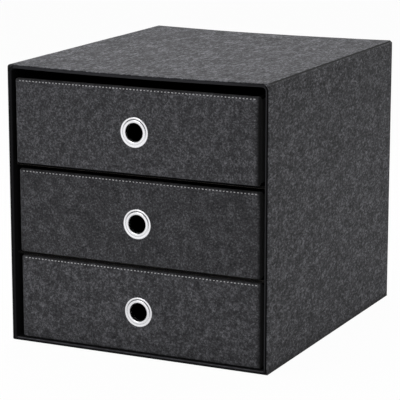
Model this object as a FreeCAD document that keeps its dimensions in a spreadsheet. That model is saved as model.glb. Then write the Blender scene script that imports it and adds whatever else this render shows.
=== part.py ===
import FreeCAD, Part
import math
import os
import re
import Sketcher

# A felt-covered board chest with three drawers that slide out of its front.
# Lengths are in millimetres. X is the width, Y runs from the front to the back and Z is up.
# The origin is on the floor, in the middle of the chest. The front faces -Y.

Vector = FreeCAD.Vector
document = FreeCAD.newDocument("storage_chest")

# The points of a line or an arc, in the order in which a sketch numbers them from 1 up
geometry_points = ["start", "end", "centre"]

# Two lengths that differ by less than this are the same length
same_length = 0.001

# Driving dimensions, each with what it measures
driving = {
    "case_width": (330.0, "outer width of the case"),
    "case_depth": (380.0, "outer depth of the case"),
    "case_height": (330.0, "outer height of the case"),
    "felt_thickness": (1.0, "grey felt of the case and the drawer fronts"),
    "case_board_thickness": (3.0, "stiff boards of the top, the sides and the back"),
    "bottom_board_thickness": (2.0, "thinner board of the bottom, which lies flat on the floor"),
    "board_edge_round": (2.5, "rounding of the long upper edges of the top board"),
    "corner_clearance": (0.3, "how far a board's rounded corner stands off the felt"),
    "back_edge_round": (1.4, "rounding of the felt round the back"),
    "seam_radius": (0.5, "valley of the sewn seam between the felt of a side and of the top"),
    "lining_thickness": (0.5, "black fabric inside the case and on the shelves"),
    "base_cover_thickness": (0.8, "fabric under the bottom board"),
    "binding_thickness": (1.2, "tape on the front edges of the case"),
    "binding_round": (0.9, "rounding of the tape's outer front edge"),
    "binding_inner_round": (1.7, "rounding of the tape into the case"),
    "binding_return": (12.0, "how far the tape runs into the case"),
    "binding_corner": (3.0, "inner corner radius of the tape"),
    "binding_floor_gap": (0.3, "lower edge of the tape above the floor"),
    "shelf_board_thickness": (2.5, "stiff boards of the shelves"),
    "shelf_recess": (8.0, "front edge of a shelf behind the front of the case"),
    "shelf_flange_height": (15.0, "glued flange of a shelf's fabric below the shelf"),
    "running_gap": (0.3, "gap under a drawer"),
    "upper_headroom": (11.5, "space above the upper drawer"),
    "middle_headroom": (3.6, "space above the middle drawer"),
    "lower_headroom": (0.7, "space above the lower drawer"),
    "side_clearance": (5.5, "space on each side of a drawer front that sits in the middle"),
    "closed_recess": (7.5, "drawer front behind the case front when it is pushed right in"),
    "upper_pull": (5.5, "how far the upper drawer stands out from its stop"),
    "middle_pull": (1.3, "how far the middle drawer stands out from its stop"),
    "lower_pull": (0.3, "how far the lower drawer stands out from its stop"),
    "upper_shift": (1.4, "how far the upper drawer lies left of the middle, within its play"),
    "middle_shift": (0.7, "how far the middle drawer lies left of the middle"),
    "lower_shift": (0.2, "how far the lower drawer lies left of the middle"),
    "front_board_thickness": (3.0, "stiff board in a drawer front"),
    "front_corner": (3.5, "corner radius of a drawer front"),
    "front_edge_round": (2.8, "soft rounding of the felt round a drawer front"),
    "front_return": (11.0, "felt glued back along the sides of a drawer"),
    "hem_height": (18.0, "felt turned down behind a drawer front"),
    "drawer_board_thickness": (2.5, "stiff boards of a drawer's box"),
    "drawer_cover_thickness": (0.5, "black fabric outside a drawer"),
    "drawer_lining_thickness": (0.5, "black fabric inside a drawer"),
    "pull_height": (48.0, "centre of the finger hole above the drawer's lower edge"),
    "eyelet_radius": (17.5, "outer radius of the eyelet's flange"),
    "eyelet_hole_radius": (10.9, "radius of the finger hole"),
    "eyelet_wall": (0.8, "wall of the eyelet's barrel"),
    "eyelet_height": (1.6, "crown of the eyelet above the felt"),
    "eyelet_rim_height": (0.9, "outer rim of the eyelet above the felt"),
    "eyelet_rim_width": (2.4, "width of the eyelet's outer rim"),
    "eyelet_groove_width": (0.6, "groove between the rim and the crown"),
    "eyelet_groove_floor": (0.3, "floor of the groove above the felt"),
    "eyelet_roll_width": (1.8, "rolled end of the barrel over the washer"),
    "eyelet_roll_height": (0.9, "rolled end of the barrel behind the washer"),
    "eyelet_clearance": (0.3, "gap round the eyelet's barrel"),
    "washer_radius": (16.0, "outer radius of the washer"),
    "washer_thickness": (1.0, "thickness of the washer"),
}

sizes = document.addObject("Spreadsheet::Sheet", "Sizes")
for row, (name, (number, meaning)) in enumerate(driving.items(), start=1):
    sizes.set("A%d" % row, name)
    sizes.set("B%d" % row, str(number))
    sizes.set("C%d" % row, meaning)
    sizes.setAlias("B%d" % row, name)
document.recompute()

# Sizes worked out from the driving dimensions, as formulas of the names above and of each other
worked_out = {
    "case_front": "-case_depth / 2",
    "case_back": "case_depth / 2",
    "board_front": "case_front + binding_thickness",
    "board_back": "case_back - felt_thickness",
    "board_half_width": "case_width / 2 - felt_thickness",
    "inner_half_width": "board_half_width - case_board_thickness",
    "board_low": "base_cover_thickness",
    "board_high": "case_height - felt_thickness",
    "inner_low": "board_low + bottom_board_thickness",
    "inner_high": "board_high - case_board_thickness",
    "inner_back": "board_back - case_board_thickness",
    "edge_round": "min(board_edge_round; 0.9 * case_board_thickness)",
    "felt_inner_round": "edge_round - corner_clearance",
    "felt_outer_round": "edge_round + felt_thickness",
    "seam_inset": "felt_outer_round * (1 - cos(45))",
    "seam_across": "case_width / 2 - seam_inset",
    "seam_up": "case_height - seam_inset",
    "lined_half_width": "inner_half_width - lining_thickness",
    "lined_low": "inner_low + lining_thickness",
    "lined_high": "inner_high - lining_thickness",
    "lined_back": "inner_back - lining_thickness",
    "lining_front": "board_front + binding_return",
    "shelf_front": "case_front + shelf_recess",
    "shelf_thickness": "shelf_board_thickness + 2 * lining_thickness",
    "shelf_half_width": "lined_half_width - lining_thickness",
    "headroom": "upper_headroom + middle_headroom + lower_headroom",
    "drawer_space": "lined_high - lined_low - 2 * shelf_thickness - headroom",
    "front_height": "drawer_space / 3 - running_gap",
    "lower_floor": "lined_low",
    "lower_ceiling": "lower_floor + running_gap + front_height + lower_headroom",
    "middle_floor": "lower_ceiling + shelf_thickness",
    "middle_ceiling": "middle_floor + running_gap + front_height + middle_headroom",
    "upper_floor": "middle_ceiling + shelf_thickness",
    "front_half_width": "lined_half_width - side_clearance",
    "drawer_depth": "lined_back - case_front - closed_recess",
    "front_round": "min(front_edge_round; 2.9 * felt_thickness)",
    "front_board_back": "felt_thickness + front_board_thickness",
    "box_half_width": "front_half_width - felt_thickness",
    "box_board_half_width": "box_half_width - drawer_cover_thickness",
    "box_inner_half_width": "box_board_half_width - drawer_board_thickness",
    "box_lined_half_width": "box_inner_half_width - drawer_lining_thickness",
    "box_board_low": "drawer_cover_thickness",
    "box_board_high": "front_height - drawer_cover_thickness",
    "box_inner_low": "box_board_low + drawer_board_thickness",
    "box_board_back": "drawer_depth - drawer_cover_thickness",
    "box_inner_back": "box_board_back - drawer_board_thickness",
    "box_lined_back": "box_inner_back - drawer_lining_thickness",
    "hem_low": "front_height - hem_height",
    "barrel_radius": "eyelet_hole_radius + eyelet_wall",
    "pull_hole_radius": "barrel_radius + eyelet_clearance",
    "washer_front": "front_board_back + drawer_lining_thickness",
    "washer_back": "washer_front + washer_thickness",
    "eyelet_end": "washer_back + eyelet_roll_height",
    "rim_inner_radius": "eyelet_radius - eyelet_rim_width",
    "crown_radius": "rim_inner_radius - eyelet_groove_width",
    "roll_radius": "barrel_radius + eyelet_roll_width",
    "rim_round": "0.8 * eyelet_rim_height",
    "crown_outer_round": "0.7 * eyelet_height",
    "crown_inner_round": "eyelet_height",
    "roll_round": "0.8 * eyelet_roll_height",
}


def formula(text):
    """The expression that the document understands, with every name looked up"""
    def look_up(match):
        word = match.group()
        if word in worked_out:
            return "(" + formula(worked_out[word]) + ")"
        if word in driving:
            return "Sizes." + word
        return word
    return re.sub(r"[a-z_]+", look_up, text)


def number(text):
    """The present value of a formula"""
    return float(sizes.evalExpression(formula(text)))


# Bodies, sketches and features


def new_body(name):
    body = document.addObject("PartDesign::Body", name)
    body.Label = name
    return body


def new_sketch(body, name, role, height):
    """A sketch on one of the body's own planes, moved along the plane's normal by a formula"""
    planes = [feature for feature in body.Origin.OriginFeatures if feature.Role == role]
    sketch = body.newObject("Sketcher::SketchObject", body.Label + "_" + name)
    sketch.AttachmentSupport = (planes[0], [""])
    sketch.MapMode = "FlatFace"
    sketch.setExpression(".AttachmentOffset.Base.z", formula(height))
    return sketch


def front_sketch(body, name, distance):
    """A sketch that faces the front, with X and Z as its axes, at a distance along +Y"""
    return new_sketch(body, name, "XZ_Plane", "-(" + distance + ")")


def level_sketch(body, name, height):
    """A level sketch, with X and Y as its axes, at a height along +Z"""
    return new_sketch(body, name, "XY_Plane", height)


def side_sketch(body, name, distance):
    """A sketch that faces sideways, with Y and Z as its axes, at a distance along +X"""
    return new_sketch(body, name, "YZ_Plane", distance)


def point_number(name):
    return geometry_points.index(name) + 1


def bind(sketch, kind, geometry, point, text):
    """Ties a point to a formula, measured from the sketch's origin, which is point 1 of geometry -1"""
    value = number(text)
    index = sketch.addConstraint(Sketcher.Constraint(kind, -1, 1, geometry, point_number(point), value))
    sketch.setExpression("Constraints[%d]" % index, formula(text))


def join(sketch, kind, geometry, point, other, other_point):
    """Ties a point of one line or arc to a point of another"""
    ends = [geometry, point_number(point), other, point_number(other_point)]
    sketch.addConstraint(Sketcher.Constraint(kind, *ends))


def bind_radius(sketch, geometry, text):
    index = sketch.addConstraint(Sketcher.Constraint("Radius", geometry, number(text)))
    sketch.setExpression("Constraints[%d]" % index, formula(text))


def draw_circle(sketch, across, up, radius):
    centre = Vector(number(across), number(up), 0)
    geometry = sketch.addGeometry(Part.Circle(centre, Vector(0, 0, 1), number(radius)))
    bind(sketch, "DistanceX", geometry, "centre", across)
    bind(sketch, "DistanceY", geometry, "centre", up)
    bind_radius(sketch, geometry, radius)


def draw_corner(sketch, corner, before, after, radius, line_before, line_after):
    """The arc that rounds a corner, tangent to the lines on both sides of it"""
    centre = corner + (after - before) * number(radius)
    start = centre - after * number(radius)
    end = centre + before * number(radius)
    left_turn = before.cross(after).z > 0
    first, last = (start, end) if left_turn else (end, start)
    circle = Part.Circle(centre, Vector(0, 0, 1), number(radius))
    first_angle = math.atan2(first.y - centre.y, first.x - centre.x)
    last_angle = math.atan2(last.y - centre.y, last.x - centre.x)
    arc = sketch.addGeometry(Part.ArcOfCircle(circle, first_angle, last_angle))
    point_before, point_after = ("start", "end") if left_turn else ("end", "start")
    join(sketch, "Tangent", line_before, "end", arc, point_before)
    join(sketch, "Tangent", line_after, "start", arc, point_after)
    bind_radius(sketch, arc, radius)


def draw_outline(sketch, corners):
    """A closed outline of level and upright lines. A corner is (across, up) or (across, up, radius)."""
    count = len(corners)
    points = [Vector(number(corner[0]), number(corner[1]), 0) for corner in corners]
    radii = [corner[2] if len(corner) == 3 else None for corner in corners]
    directions = [(points[(i + 1) % count] - points[i]).normalize() for i in range(count)]
    lines = []
    for i in range(count):
        following = (i + 1) % count
        start, end = points[i], points[following]
        if radii[i]:
            start = start + directions[i] * number(radii[i])
        if radii[following]:
            end = end - directions[i] * number(radii[following])
        line = sketch.addGeometry(Part.LineSegment(start, end))
        lines.append(line)
        across, up = corners[i][:2]
        if abs(directions[i].x) > abs(directions[i].y):
            sketch.addConstraint(Sketcher.Constraint("Horizontal", line))
            bind(sketch, "DistanceY", line, "start", up)
        else:
            sketch.addConstraint(Sketcher.Constraint("Vertical", line))
            bind(sketch, "DistanceX", line, "start", across)
    for i in range(count):
        before, after = lines[i - 1], lines[i]
        if radii[i]:
            draw_corner(sketch, points[i], directions[i - 1], directions[i], radii[i], before, after)
        else:
            join(sketch, "Coincident", before, "end", after, "start")


def draw_rectangle(sketch, left, right, low, high, radius=None):
    corners = [(left, low), (right, low), (right, high), (left, high)]
    if radius:
        corners = [corner + (radius,) for corner in corners]
    draw_outline(sketch, corners)


def pad(body, sketch, length, backwards=False):
    """Adds the sketch's outline as a solid. Backwards runs against the plane's normal."""
    feature = body.newObject("PartDesign::Pad", sketch.Label + "_pad")
    feature.Profile = sketch
    feature.setExpression("Length", formula(length))
    feature.Reversed = backwards
    document.recompute()
    return feature


def pocket(body, sketch, length):
    """Cuts the sketch's outline out of the body, against the plane's normal"""
    volume = body.Shape.Volume
    feature = body.newObject("PartDesign::Pocket", sketch.Label + "_pocket")
    feature.Profile = sketch
    feature.setExpression("Length", formula(length))
    document.recompute()
    if body.Shape.Volume >= volume:
        raise RuntimeError(body.Label + ": " + feature.Label + " cuts nothing")
    return feature


def near(value, text):
    """True if a measured length is a formula's length"""
    return abs(value - number(text)) < same_length


def round_edges(body, feature, radius, distance, chosen=None):
    """Rounds the edges that lie at a distance along Y, and whose middle passes the test if there is one"""
    names = []
    for index, edge in enumerate(feature.Shape.Edges, start=1):
        middle = edge.valueAt((edge.FirstParameter + edge.LastParameter) / 2)
        points = [vertex.Point for vertex in edge.Vertexes] + [middle]
        if all(near(point.y, distance) for point in points) and (chosen is None or chosen(middle)):
            names.append("Edge%d" % index)
    fillet = body.newObject("PartDesign::Fillet", feature.Label + "_round")
    fillet.Base = (feature, names)
    fillet.setExpression("Radius", formula(radius))
    document.recompute()
    return fillet


def place(body, across, back, up):
    """Moves a body from its own frame to its place in the chest, by formulas"""
    body.setExpression(".Placement.Base.x", formula(across))
    body.setExpression(".Placement.Base.y", formula(back))
    body.setExpression(".Placement.Base.z", formula(up))


def panel(name, left, right, front, back, low, high):
    """A flat panel with square edges, between six formulas"""
    body = new_body(name)
    sketch = level_sketch(body, "outline", low)
    draw_rectangle(sketch, left, right, front, back)
    pad(body, sketch, "(%s) - (%s)" % (high, low))
    return body


# The case


def make_case_cover():
    """Felt over the top, the sides and the back, open in front and below, sewn along the upper edges"""
    body = new_body("case_cover")
    outside = front_sketch(body, "outside", "board_front")
    draw_outline(outside, [
        ("-case_width / 2", "board_low"),
        ("case_width / 2", "board_low"),
        ("case_width / 2", "case_height", "felt_outer_round"),
        ("-case_width / 2", "case_height", "felt_outer_round"),
    ])
    block = pad(body, outside, "case_back - board_front", backwards=True)
    round_edges(body, block, "back_edge_round", "case_back", lambda middle: not near(middle.z, "board_low"))
    inside = front_sketch(body, "inside", "board_front")
    draw_outline(inside, [
        ("-board_half_width", "board_low"),
        ("board_half_width", "board_low"),
        ("board_half_width", "board_high", "felt_inner_round"),
        ("-board_half_width", "board_high", "felt_inner_round"),
    ])
    pocket(body, inside, "board_back - board_front")
    seams = front_sketch(body, "seams", "board_front")
    draw_circle(seams, "-seam_across", "seam_up", "seam_radius")
    draw_circle(seams, "seam_across", "seam_up", "seam_radius")
    pocket(body, seams, "case_back - board_front")
    return body


def make_base_cover():
    """Fabric under the bottom board, which the chest stands on"""
    half = "case_width / 2"
    return panel("base_cover", "-" + half, half, "board_front", "case_back", "0", "board_low")


def make_top_board():
    """The top board, whose long upper edges are rounded for the felt"""
    body = new_body("top_board")
    outline = front_sketch(body, "outline", "board_front")
    draw_outline(outline, [
        ("-board_half_width", "inner_high"),
        ("board_half_width", "inner_high"),
        ("board_half_width", "board_high", "edge_round"),
        ("-board_half_width", "board_high", "edge_round"),
    ])
    pad(body, outline, "board_back - board_front", backwards=True)
    return body


def make_bottom_board():
    half = "board_half_width"
    return panel("bottom_board", "-" + half, half, "board_front", "board_back", "board_low", "inner_low")


def make_side_boards():
    """The two side boards, which stand between the bottom board and the top board"""
    outer, inner = "board_half_width", "inner_half_width"
    sides = [("left_board", "-" + outer, "-" + inner), ("right_board", inner, outer)]
    return [panel(*side, "board_front", "board_back", "inner_low", "inner_high") for side in sides]


def make_back_board():
    """The back board, which fits between the other four"""
    half = "inner_half_width"
    return panel("back_board", "-" + half, half, "inner_back", "board_back", "inner_low", "inner_high")


def make_case_lining():
    """Black fabric on the inner faces, from behind the tape to the back"""
    body = new_body("case_lining")
    outside = front_sketch(body, "outside", "lining_front")
    draw_rectangle(outside, "-inner_half_width", "inner_half_width", "inner_low", "inner_high")
    pad(body, outside, "inner_back - lining_front", backwards=True)
    inside = front_sketch(body, "inside", "lining_front")
    draw_rectangle(inside, "-lined_half_width", "lined_half_width", "lined_low", "lined_high")
    pocket(body, inside, "lined_back - lining_front")
    return body


def make_front_binding():
    """Tape round the front edges of the boards, rounded in front and turned into the case"""
    body = new_body("front_binding")
    half = "case_width / 2"
    lined_half = "lined_half_width"
    opening = ("-" + lined_half, lined_half, "lined_low", "lined_high", "binding_corner")

    half_opening = number("inner_half_width")
    low, high = number("inner_low"), number("inner_high")

    def in_opening(middle):
        return abs(middle.x) < half_opening and low < middle.z < high

    face = front_sketch(body, "face", "case_front")
    draw_rectangle(face, "-" + half, half, "binding_floor_gap", "case_height", "felt_outer_round")
    draw_rectangle(face, *opening)
    ring = pad(body, face, "binding_thickness", backwards=True)
    round_edges(body, ring, "binding_round", "case_front", lambda middle: not in_opening(middle))
    sleeve = front_sketch(body, "sleeve", "board_front")
    draw_rectangle(sleeve, "-inner_half_width", "inner_half_width", "inner_low", "inner_high")
    draw_rectangle(sleeve, *opening)
    whole = pad(body, sleeve, "binding_return", backwards=True)
    round_edges(body, whole, "binding_inner_round", "case_front", in_opening)
    return body


# The shelves


def make_shelf(name, low):
    """A shelf board in a sleeve of black fabric, which hangs on two flanges glued to the sides"""
    board_low = low + " + lining_thickness"
    board_high = board_low + " + shelf_board_thickness"
    board_front = "shelf_front + lining_thickness"
    half = "shelf_half_width"
    outer_half = "lined_half_width"
    board = panel(name + "_board", "-" + half, half, board_front, "lined_back", board_low, board_high)
    cover = new_body(name + "_cover")
    outside = front_sketch(cover, "outside", "shelf_front")
    flange_low = low + " - shelf_flange_height"
    high = low + " + shelf_thickness"
    draw_outline(outside, [
        ("-" + outer_half, flange_low),
        ("-" + half, flange_low),
        ("-" + half, low),
        (half, low),
        (half, flange_low),
        (outer_half, flange_low),
        (outer_half, high),
        ("-" + outer_half, high),
    ])
    pad(cover, outside, "lined_back - shelf_front", backwards=True)
    inside = front_sketch(cover, "inside", board_front)
    draw_rectangle(inside, "-" + half, half, board_low, board_high)
    pocket(cover, inside, "lined_back - shelf_front")
    return [board, cover]


# The drawers, each made in its own frame: X across, Y back from the felt, Z up from the lower edge


def make_front_cover(name):
    """Felt over the front and its edges, with a hem behind the top edge and a strip along each side"""
    body = new_body(name + "_front_cover")
    outside = front_sketch(body, "outside", "0")
    draw_rectangle(outside, "-front_half_width", "front_half_width", "0", "front_height", "front_corner")
    block = pad(body, outside, "front_board_back", backwards=True)
    round_edges(body, block, "front_round", "0")
    inside = front_sketch(body, "inside", "felt_thickness")
    inner_half = "box_half_width"
    inner_high = "front_height - felt_thickness"
    inner_corner = "front_corner - felt_thickness"
    draw_rectangle(inside, "-" + inner_half, inner_half, "felt_thickness", inner_high, inner_corner)
    pocket(body, inside, "front_board_thickness")
    hem = front_sketch(body, "hem", "front_board_back")
    draw_rectangle(hem, "-box_lined_half_width", "box_lined_half_width", "hem_low", "front_height")
    pad(body, hem, "felt_thickness", backwards=True)
    strips = front_sketch(body, "strips", "front_board_back")
    strip_high = "front_height - front_corner"
    draw_rectangle(strips, "-front_half_width", "-box_half_width", "front_corner", strip_high)
    draw_rectangle(strips, "box_half_width", "front_half_width", "front_corner", strip_high)
    pad(body, strips, "front_return", backwards=True)
    hole = front_sketch(body, "hole", "0")
    draw_circle(hole, "0", "pull_height", "pull_hole_radius")
    pocket(body, hole, "front_board_back")
    return body


def make_front_board(name):
    """Board in the drawer front, with the hole for the eyelet"""
    body = new_body(name + "_front_board")
    outline = front_sketch(body, "outline", "felt_thickness")
    half = "box_half_width"
    high = "front_height - felt_thickness"
    corner = "front_corner - felt_thickness + corner_clearance"
    draw_rectangle(outline, "-" + half, half, "felt_thickness", high, corner)
    draw_circle(outline, "0", "pull_height", "pull_hole_radius")
    pad(body, outline, "front_board_thickness", backwards=True)
    return body


def make_box_boards(name):
    """The base, the two sides and the rear of the drawer's box"""
    half = "box_board_half_width"
    inner_half = "box_inner_half_width"
    front, inner_back, back = "front_board_back", "box_inner_back", "box_board_back"
    low, inner_low, high = "box_board_low", "box_inner_low", "box_board_high"
    return [
        panel(name + "_base_board", "-" + half, half, front, back, low, inner_low),
        panel(name + "_left_side_board", "-" + half, "-" + inner_half, front, inner_back, inner_low, high),
        panel(name + "_right_side_board", inner_half, half, front, inner_back, inner_low, high),
        panel(name + "_rear_board", "-" + half, half, inner_back, back, inner_low, high),
    ]


def make_body_cover(name):
    """Black fabric round the outside of the box, turned over the upper edges of its walls"""
    body = new_body(name + "_body_cover")
    outside = front_sketch(body, "outside", "front_board_back")
    draw_rectangle(outside, "-box_half_width", "box_half_width", "0", "front_height")
    pad(body, outside, "drawer_depth - front_board_back", backwards=True)
    inside = front_sketch(body, "inside", "front_board_back")
    half = "box_board_half_width"
    draw_rectangle(inside, "-" + half, half, "box_board_low", "box_board_high")
    pocket(body, inside, "box_board_back - front_board_back")
    mouth = level_sketch(body, "mouth", "front_height")
    mouth_half = "box_lined_half_width"
    draw_rectangle(mouth, "-" + mouth_half, mouth_half, "front_board_back", "box_lined_back")
    pocket(body, mouth, "drawer_cover_thickness")
    return body


def make_drawer_lining(name):
    """Black fabric inside the drawer, up to the hem in front and to the turned edges elsewhere"""
    body = new_body(name + "_lining")
    outside = front_sketch(body, "outside", "front_board_back")
    inner_half = "box_inner_half_width"
    draw_rectangle(outside, "-" + inner_half, inner_half, "box_inner_low", "box_board_high")
    pad(body, outside, "box_inner_back - front_board_back", backwards=True)
    inside = level_sketch(body, "inside", "box_board_high")
    half = "box_lined_half_width"
    draw_rectangle(inside, "-" + half, half, "washer_front", "box_lined_back")
    pocket(body, inside, "box_board_high - box_inner_low - drawer_lining_thickness")
    behind_hem = front_sketch(body, "behind_hem", "front_board_back")
    draw_rectangle(behind_hem, "-" + half, half, "hem_low", "box_board_high")
    pocket(body, behind_hem, "drawer_lining_thickness")
    hole = front_sketch(body, "hole", "front_board_back")
    draw_circle(hole, "0", "pull_height", "pull_hole_radius")
    pocket(body, hole, "drawer_lining_thickness")
    return body


def make_eyelet(name):
    """The eyelet, turned about the axis of the finger hole: rim, groove, crown, barrel and rolled end"""
    body = new_body(name + "_eyelet")
    section = side_sketch(body, "section", "0")
    felt_face = "0"
    draw_outline(section, [
        (felt_face, "eyelet_radius"),
        ("-eyelet_rim_height", "eyelet_radius", "rim_round"),
        ("-eyelet_rim_height", "rim_inner_radius"),
        ("-eyelet_groove_floor", "rim_inner_radius"),
        ("-eyelet_groove_floor", "crown_radius"),
        ("-eyelet_height", "crown_radius", "crown_outer_round"),
        ("-eyelet_height", "eyelet_hole_radius", "crown_inner_round"),
        ("eyelet_end", "eyelet_hole_radius"),
        ("eyelet_end", "roll_radius", "roll_round"),
        ("washer_back", "roll_radius"),
        ("washer_back", "barrel_radius"),
        (felt_face, "barrel_radius"),
    ])
    turned = body.newObject("PartDesign::Revolution", section.Label + "_turned")
    turned.Profile = section
    turned.ReferenceAxis = (section, ["H_Axis"])
    turned.Angle = 360
    document.recompute()
    return body


def make_eyelet_washer(name):
    """The ring behind the front that the eyelet's end is rolled over"""
    body = new_body(name + "_eyelet_washer")
    ring = front_sketch(body, "ring", "washer_front")
    draw_circle(ring, "0", "0", "washer_radius")
    draw_circle(ring, "0", "0", "pull_hole_radius")
    pad(body, ring, "washer_thickness", backwards=True)
    return body


def make_drawer(name, shift, pull, floor):
    """All pieces of one drawer, at its rest place: shifted in its play, pulled from its stop, on its floor"""
    pieces = [make_front_cover(name), make_front_board(name)]
    pieces += make_box_boards(name)
    pieces += [make_body_cover(name), make_drawer_lining(name)]
    across = "-" + shift
    back = "case_front + closed_recess - " + pull
    up = floor + " + running_gap"
    for body in pieces:
        place(body, across, back, up)
    round_pieces = [make_eyelet(name), make_eyelet_washer(name)]
    for body in round_pieces:
        place(body, across, back, up + " + pull_height")
    return pieces + round_pieces


subparts = [make_case_cover(), make_base_cover(), make_top_board(), make_bottom_board()]
subparts += make_side_boards()
subparts += [make_back_board(), make_case_lining(), make_front_binding()]
subparts += make_shelf("upper_shelf", "middle_ceiling")
subparts += make_shelf("lower_shelf", "lower_ceiling")
subparts += make_drawer("upper_drawer", "upper_shift", "upper_pull", "upper_floor")
subparts += make_drawer("middle_drawer", "middle_shift", "middle_pull", "middle_floor")
subparts += make_drawer("lower_drawer", "lower_shift", "lower_pull", "lower_floor")
document.recompute()

for item in document.Objects:
    if "Invalid" in item.State or "Error" in item.State:
        raise RuntimeError(item.Label + " failed: " + str(item.State))
for body in subparts:
    if body.Shape.isNull() or not body.Shape.isValid() or len(body.Shape.Solids) != 1:
        raise RuntimeError(body.Label + " isn't one valid solid")

os.makedirs("parts", exist_ok=True)
for body in subparts:
    body.Shape.exportStep("parts/%s.step" % body.Label)
for name in ("front_height", "front_half_width", "drawer_depth"):
    print("%s %.2f" % (name, number(name)))
print("%d sub-parts" % len(subparts))
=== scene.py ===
import bpy
import bmesh
import math
import numpy as np
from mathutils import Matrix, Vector


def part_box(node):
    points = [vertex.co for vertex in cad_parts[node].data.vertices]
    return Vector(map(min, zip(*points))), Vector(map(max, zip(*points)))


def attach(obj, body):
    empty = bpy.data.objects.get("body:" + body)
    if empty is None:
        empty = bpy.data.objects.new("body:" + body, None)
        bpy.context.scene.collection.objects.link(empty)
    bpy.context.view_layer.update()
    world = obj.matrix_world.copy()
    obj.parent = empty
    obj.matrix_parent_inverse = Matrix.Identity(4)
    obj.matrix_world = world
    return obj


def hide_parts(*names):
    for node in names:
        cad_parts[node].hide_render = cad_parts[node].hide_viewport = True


# The looks of a felt-covered chest with three drawers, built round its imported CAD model.
# Lengths in this file are millimetres until they go into a mesh, a lamp or the camera.

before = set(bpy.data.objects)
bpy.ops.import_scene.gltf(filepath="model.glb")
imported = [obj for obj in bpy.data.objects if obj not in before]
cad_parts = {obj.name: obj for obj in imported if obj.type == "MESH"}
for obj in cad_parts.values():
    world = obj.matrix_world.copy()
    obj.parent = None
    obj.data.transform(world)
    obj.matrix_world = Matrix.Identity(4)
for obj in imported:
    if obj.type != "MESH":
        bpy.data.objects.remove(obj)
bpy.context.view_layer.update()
mm = 0.001
print("frame loaded:", len(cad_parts), "nodes")


# Camera: where the photograph was taken from, found from the chest's eight corners

cameraSet = {
    "place": (1026.5, -2139.1, 673.0),
    "yaw": -0.4513,  # turned to the left of +Y, radians
    "pitch": -0.218,  # tipped down, radians
    "lens": 179.15,
    "sensor": 36.0,
    "clip": (0.05, 60.0),  # metres
}


def makeCamera(say):
    data = bpy.data.cameras.new("camera")
    data.sensor_width = say["sensor"]
    data.lens = say["lens"]
    data.clip_start, data.clip_end = say["clip"]
    camera = bpy.data.objects.new("camera", data)
    bpy.context.scene.collection.objects.link(camera)
    camera.location = Vector(say["place"]) * mm
    level = math.cos(say["pitch"])
    ahead = Vector((math.sin(say["yaw"]) * level, math.cos(say["yaw"]) * level, math.sin(say["pitch"])))
    camera.rotation_mode = "QUATERNION"
    camera.rotation_quaternion = ahead.to_track_quat("-Z", "Y")
    bpy.context.scene.camera = camera


makeCamera(cameraSet)
print("camera placed")


# Meshes from grids of points


def joinGrid(rows, columns, loop):
    # quads between neighbouring points of a grid, whose columns close into a loop if asked
    row = np.arange(rows - 1)[:, None]
    column = np.arange(columns if loop else columns - 1)[None, :]
    following = (column + 1) % columns
    corners = [row * columns + column, row * columns + following]
    corners += [(row + 1) * columns + following, (row + 1) * columns + column]
    return np.stack(corners, axis=-1).reshape(-1, 4)


def joinLines(first, second, loop):
    # quads between two lines of point numbers
    if loop:
        first, second = np.append(first, first[0]), np.append(second, second[0])
    return np.stack([first[:-1], second[:-1], second[1:], first[1:]], axis=-1)


def gridNormals(points, loop):
    # cross product of the grid's two directions; where a row shrinks to a pole, the row before it decides
    along = np.gradient(points, axis=0)
    if loop:
        across = np.roll(points, -1, axis=1) - np.roll(points, 1, axis=1)
    else:
        across = np.gradient(points, axis=1)
    normals = np.cross(along, across)
    size = np.linalg.norm(normals, axis=2, keepdims=True)
    normals = normals / np.maximum(size, 1e-9)
    if size[-1].max() < 1e-6:
        normals[-1] = normals[-2].mean(axis=0)
    return normals


def volumeOf(points, quads):
    a, b, c, d = (points[quads[:, i]] for i in range(4))
    return float((np.cross(a, b) * c).sum() + (np.cross(a, c) * d).sum()) / 6


def facedOut(points, quads):
    # a closed shell whose faces point out has a volume above zero
    return quads if volumeOf(points, quads) > 0 else quads[:, ::-1]


def sheet(points, thickness, showSide=1, relief=0.0, loop=False, mark=0.0):
    # A sheet of cloth or felt: the grid is its show side, raised along its normals by the relief.
    # The other side is the same grid, a thickness behind, and the rims between them are closed.
    # showSide is 1 where rows crossed with columns point out of the show side, and -1 where they point in.
    rows, columns = points.shape[:2]
    normals = gridNormals(points, loop) * showSide
    shown = points + normals * np.broadcast_to(relief, (rows, columns))[..., None]
    behind = points - normals * thickness
    number = np.arange(rows * columns).reshape(rows, columns)
    other = number + rows * columns
    quads = [joinGrid(rows, columns, loop)]
    quads.append(quads[0][:, ::-1] + rows * columns)
    quads.append(joinLines(number[0], other[0], loop))
    quads.append(joinLines(other[-1], number[-1], loop))
    if not loop:
        quads.append(joinLines(other[:, 0], number[:, 0], False))
        quads.append(joinLines(number[:, -1], other[:, -1], False))
    points = np.concatenate([shown.reshape(-1, 3), behind.reshape(-1, 3)])
    quads = np.concatenate(quads)
    return points, facedOut(points, quads), np.tile(np.broadcast_to(mark, (rows, columns)).ravel(), 2)


def ring(points, mark):
    # a closed profile carried along a closed path: both directions of the grid close
    rows, columns = points.shape[:2]
    number = np.arange(rows * columns).reshape(rows, columns)
    closing = joinLines(number[-1], number[0], True)[:, ::-1]
    quads = np.concatenate([joinGrid(rows, columns, True), closing])
    flat = points.reshape(-1, 3)
    return flat, facedOut(flat, quads), np.broadcast_to(mark, (rows, columns)).ravel()


poleGap = 0.002  # points closer than this become one


def mergePoles(mesh):
    work = bmesh.new()
    work.from_mesh(mesh)
    bmesh.ops.remove_doubles(work, verts=work.verts, dist=poleGap * mm)
    work.to_mesh(mesh)
    work.free()


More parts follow.
